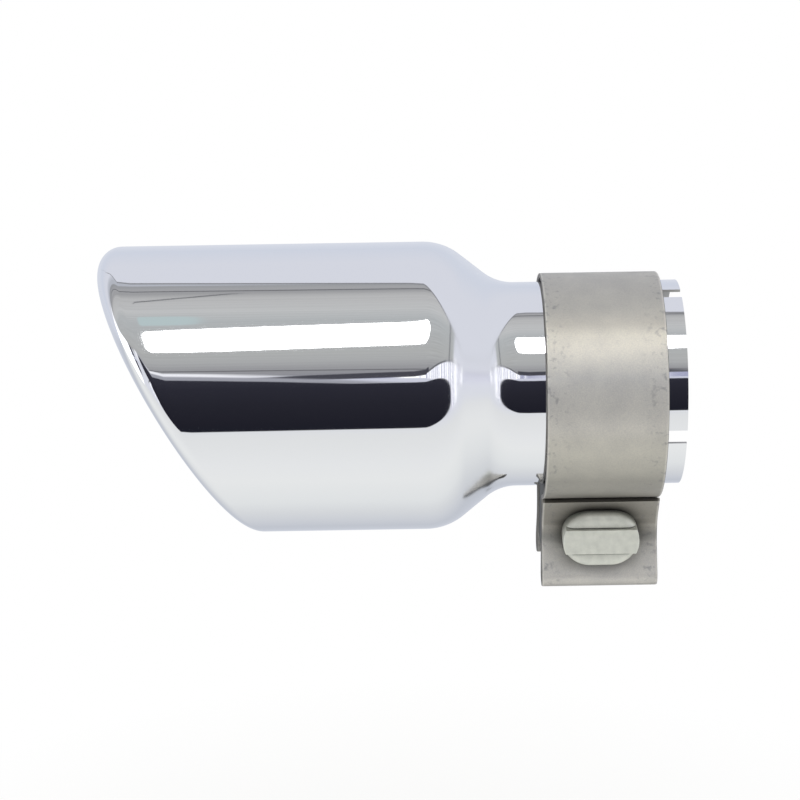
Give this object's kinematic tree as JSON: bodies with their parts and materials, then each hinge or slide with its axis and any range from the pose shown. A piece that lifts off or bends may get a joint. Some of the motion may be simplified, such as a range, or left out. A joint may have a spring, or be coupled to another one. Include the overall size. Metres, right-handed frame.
{
  "type": "exhaust tip",
  "caption": "Slant-cut round exhaust tip with a rolled-in lip and a necked, slotted inlet, with the wide band clamp that squeezes the inlet onto a tailpipe.",
  "frame": {"origin": "centre of the inlet bore on the end face that slides over the tailpipe", "axes": "+X along the inlet bore and out of its open end, so the outlet lies towards -X; +Z towards the longest side of the slanted lip, with the clamp's ears pointing down, about -Z, and the bolt's head on the -Y side"},
  "size_m": [0.202, 0.1016, 0.1237],
  "materials": {
    "polished_stainless": "mirror-polished stainless steel, mill finish inside",
    "satin_stainless": "satin, tumbled stainless strip",
    "plated_steel": "pale zinc plating, slightly matt"
  },
  "bodies": {
    "root": {"tip_tube": "polished_stainless", "clamp_band": "satin_stainless", "reaction_block": "plated_steel", "clamp_bolt": "plated_steel", "saddle_washer": "plated_steel", "hex_nut": "plated_steel"}
  },
  "joints": []
}
